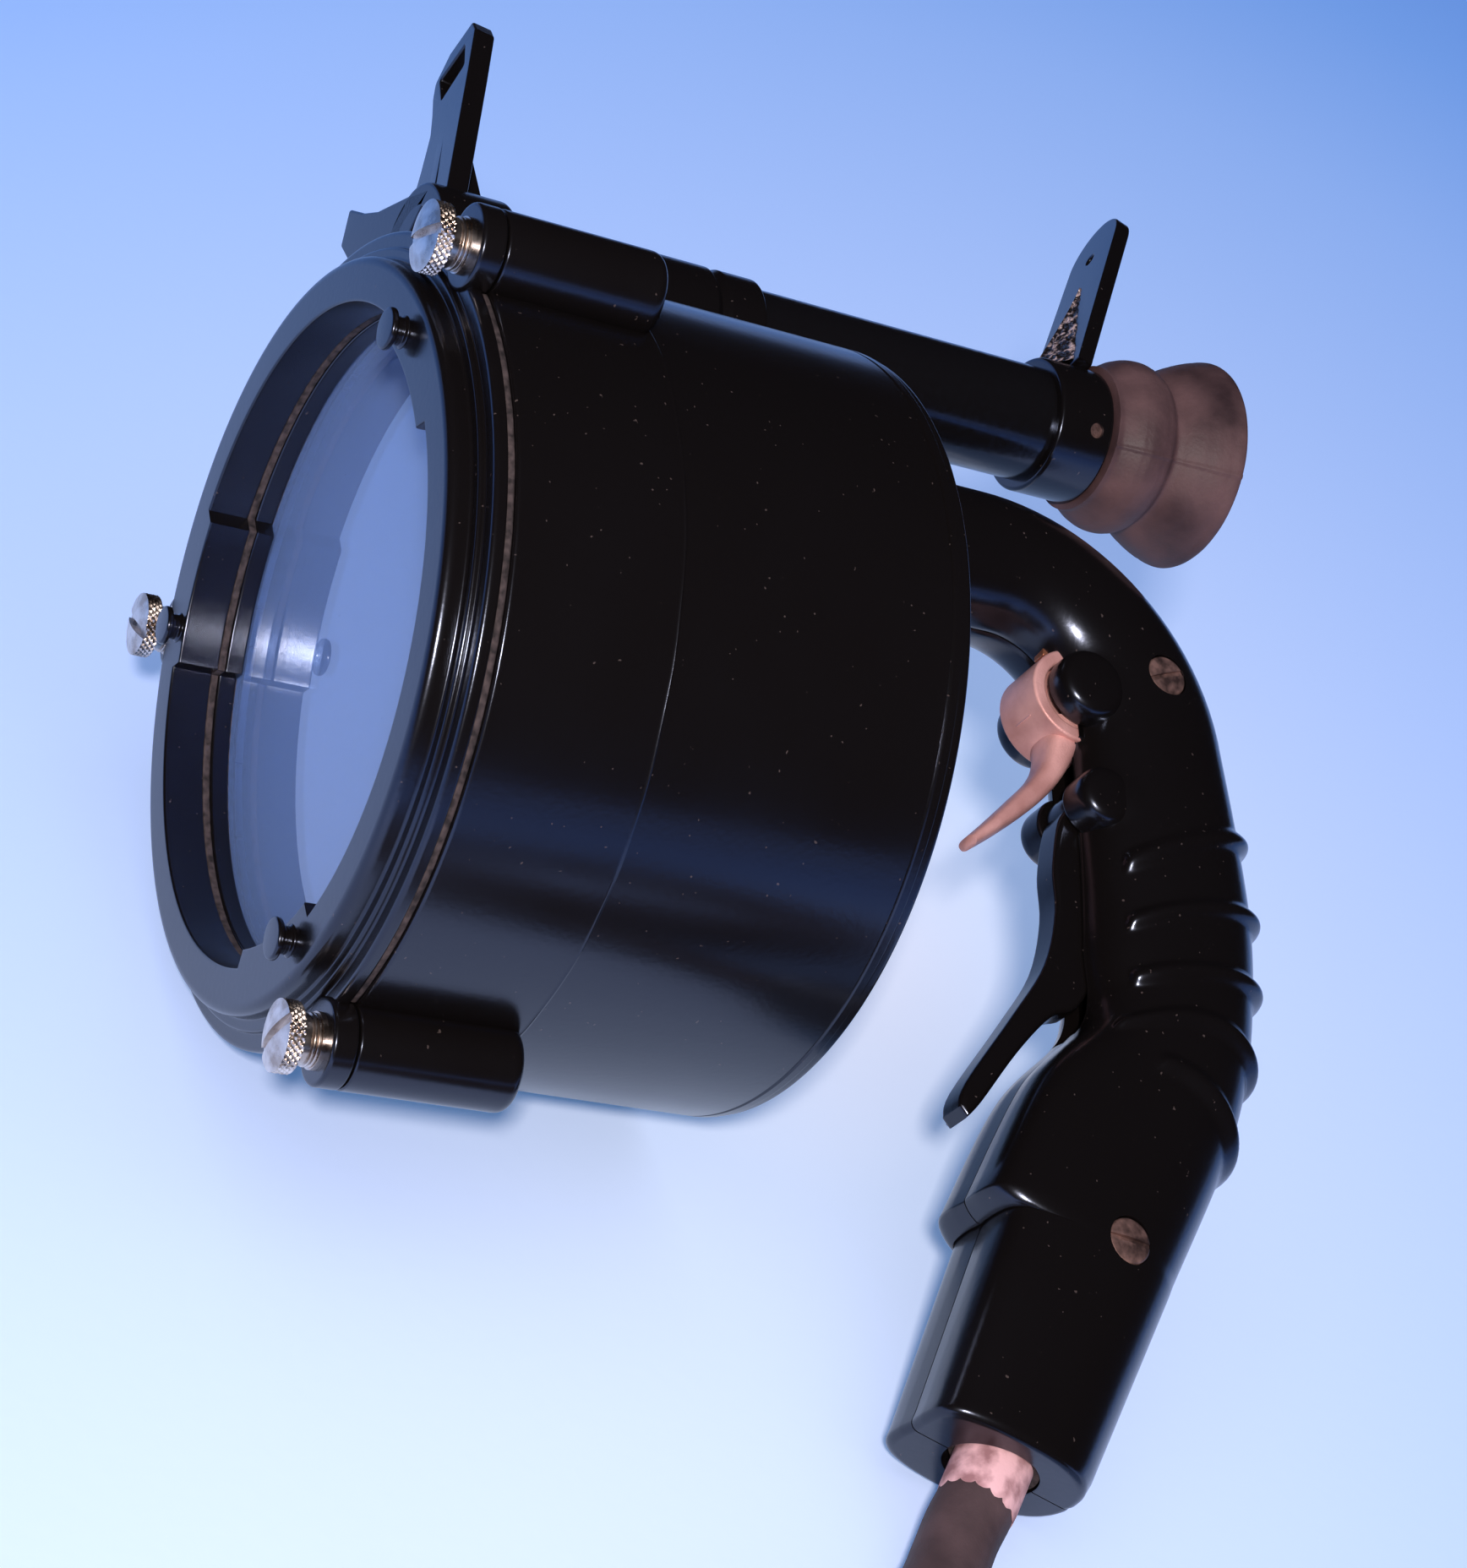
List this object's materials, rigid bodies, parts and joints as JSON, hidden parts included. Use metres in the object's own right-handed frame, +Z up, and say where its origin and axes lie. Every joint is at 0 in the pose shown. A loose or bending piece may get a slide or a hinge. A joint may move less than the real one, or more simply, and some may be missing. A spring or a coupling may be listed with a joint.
{
  "type": "signal lamp",
  "caption": "Hand-held daylight signalling lamp with a pistol grip, trigger-tilted reflector, sighting telescope, thumb-screwed bezel and coiled supply cable.",
  "frame": {"origin": "centre of the underside of the lamp's box as it lies on its side, cord left out", "axes": "-Y along the beam, +Y towards the eyecup, +X towards the heel of the grip, +Z up from the surface it lies on"},
  "size_m": [0.5284, 0.2281, 0.1576],
  "materials": {
    "bakelite": "glossy moulded phenolic, nearly black, a little worn",
    "black_tube": "satin black enamel",
    "gasket_rubber": "matte grey-brown",
    "eyecup_rubber": "matte dark grey-brown with faint mould seams",
    "cable_rubber": "matte, slightly worn",
    "tie_tape": "woven cotton strap",
    "plug_plastic": "moulded, satin gloss",
    "clear_glass": "clear polished",
    "lens_glass": "polished",
    "mirror_metal": "silvered",
    "nickel": "worn nickel plate",
    "brass": "machined",
    "screw_brass": "plated brass with the plating thin on the edges",
    "steel": "plain",
    "grey_aluminium": "plain",
    "trigger_metal": "satin casting, pinkish grey",
    "brown_plastic": "moulded"
  },
  "bodies": {
    "lamp": {"drum_casing": "bakelite", "drum_lugs": "bakelite", "rear_cover": "bakelite", "bezel_ring": "bakelite", "gasket": "gasket_rubber", "front_glass": "clear_glass", "glass_seal": "gasket_rubber", "glass_retainer": "steel", "retainer_screws": "brass", "threaded_inserts": "brass", "screw_washers": "nickel", "filter_studs": "bakelite", "reflector_bracket": "steel", "bracket_screws": "brass", "trunnion_pins": "brass", "bulb_glass": "clear_glass", "bulb_cap": "brass", "lamp_holder": "plug_plastic", "holder_flange": "steel", "holder_screws": "brass", "front_shade": "grey_aluminium", "return_spring": "steel", "telescope_tube": "black_tube", "objective_lens": "lens_glass", "eye_lens": "lens_glass", "front_collar": "bakelite", "rear_collar": "bakelite", "collar_screws": "nickel", "eyecup": "eyecup_rubber", "front_sight": "bakelite", "rear_sight": "bakelite", "grip_left": "bakelite", "grip_right": "bakelite", "grip_screws": "screw_brass", "grip_nuts": "screw_brass", "neck_screws": "steel", "trigger_pin": "steel", "lever_pin": "steel", "lever_spring": "steel", "switch_block": "brown_plastic", "switch_terminals": "brass", "cable_clamp": "steel", "clamp_screws": "brass", "cable_gland": "gasket_rubber", "cable": "cable_rubber", "cable_coil": "cable_rubber", "coil_tie": "tie_tape", "plug_body": "plug_plastic", "plug_nut": "plug_plastic", "plug_pins": "brass"},
    "trigger": {"trigger": "trigger_metal"},
    "reflector": {"reflector": "mirror_metal", "reflector_carrier": "grey_aluminium", "crank_pin": "brass"},
    "link_rod": {"link_rod": "steel"},
    "switch_lever": {"switch_lever": "bakelite"},
    "contact_plunger": {"contact_plunger": "brass"},
    "thumb_screw_1": {"thumb_screw_1": "nickel"},
    "thumb_screw_2": {"thumb_screw_2": "nickel"},
    "thumb_screw_3": {"thumb_screw_3": "nickel"}
  },
  "joints": [
    {"name": "trigger_pull", "type": "hinge", "parent": "lamp", "child": "trigger", "pos_m": [-0.0165, 0.06383, 0.08144], "axis": [0.4327, 0, 0.9016], "range_deg": [0, 7], "stiffness_Nm_per_rad": 1.2, "springref_deg": -3.44, "deforming": ["return_spring"]},
    {"name": "reflector_tilt", "type": "hinge", "parent": "lamp", "child": "reflector", "pos_m": [0.00108, -0.03617, 0.073], "axis": [0.4327, 0, 0.9016], "range_deg": [0, 4.4]},
    {"name": "link_travel", "type": "slide", "parent": "lamp", "child": "link_rod", "axis": [0, -1, 0], "range_m": [0, 0.004]},
    {"name": "lever_press", "type": "hinge", "parent": "lamp", "child": "switch_lever", "pos_m": [0.00559, 0.06432, 0.07084], "axis": [0.4327, 0, 0.9016], "range_deg": [0, 3.5], "stiffness_Nm_per_rad": 0.6, "springref_deg": -4.58, "deforming": ["lever_spring"]},
    {"name": "plunger_travel", "type": "slide", "parent": "lamp", "child": "contact_plunger", "axis": [0, 1, 0], "range_m": [0, 0.0019]},
    {"name": "thumb_screw_1_turn", "type": "hinge", "parent": "lamp", "child": "thumb_screw_1", "pos_m": [-0.00479, -0.10618, 0.14998], "axis": [0, 1, 0], "continuous": true},
    {"name": "thumb_screw_2_turn", "type": "hinge", "parent": "lamp", "child": "thumb_screw_2", "pos_m": [-0.06265, -0.10618, 0.02942], "axis": [0, 1, 0], "continuous": true},
    {"name": "thumb_screw_3_turn", "type": "hinge", "parent": "lamp", "child": "thumb_screw_3", "pos_m": [0.07068, -0.10618, 0.0396], "axis": [0, 1, 0], "continuous": true}
  ],
  "couplings": [
    {"joint": "reflector_tilt", "follows": "trigger_pull", "ratio": 0.6243},
    {"joint": "link_travel", "follows": "trigger_pull", "m_per_rad": 0.0324},
    {"joint": "plunger_travel", "follows": "lever_press", "m_per_rad": 0.031}
  ]
}
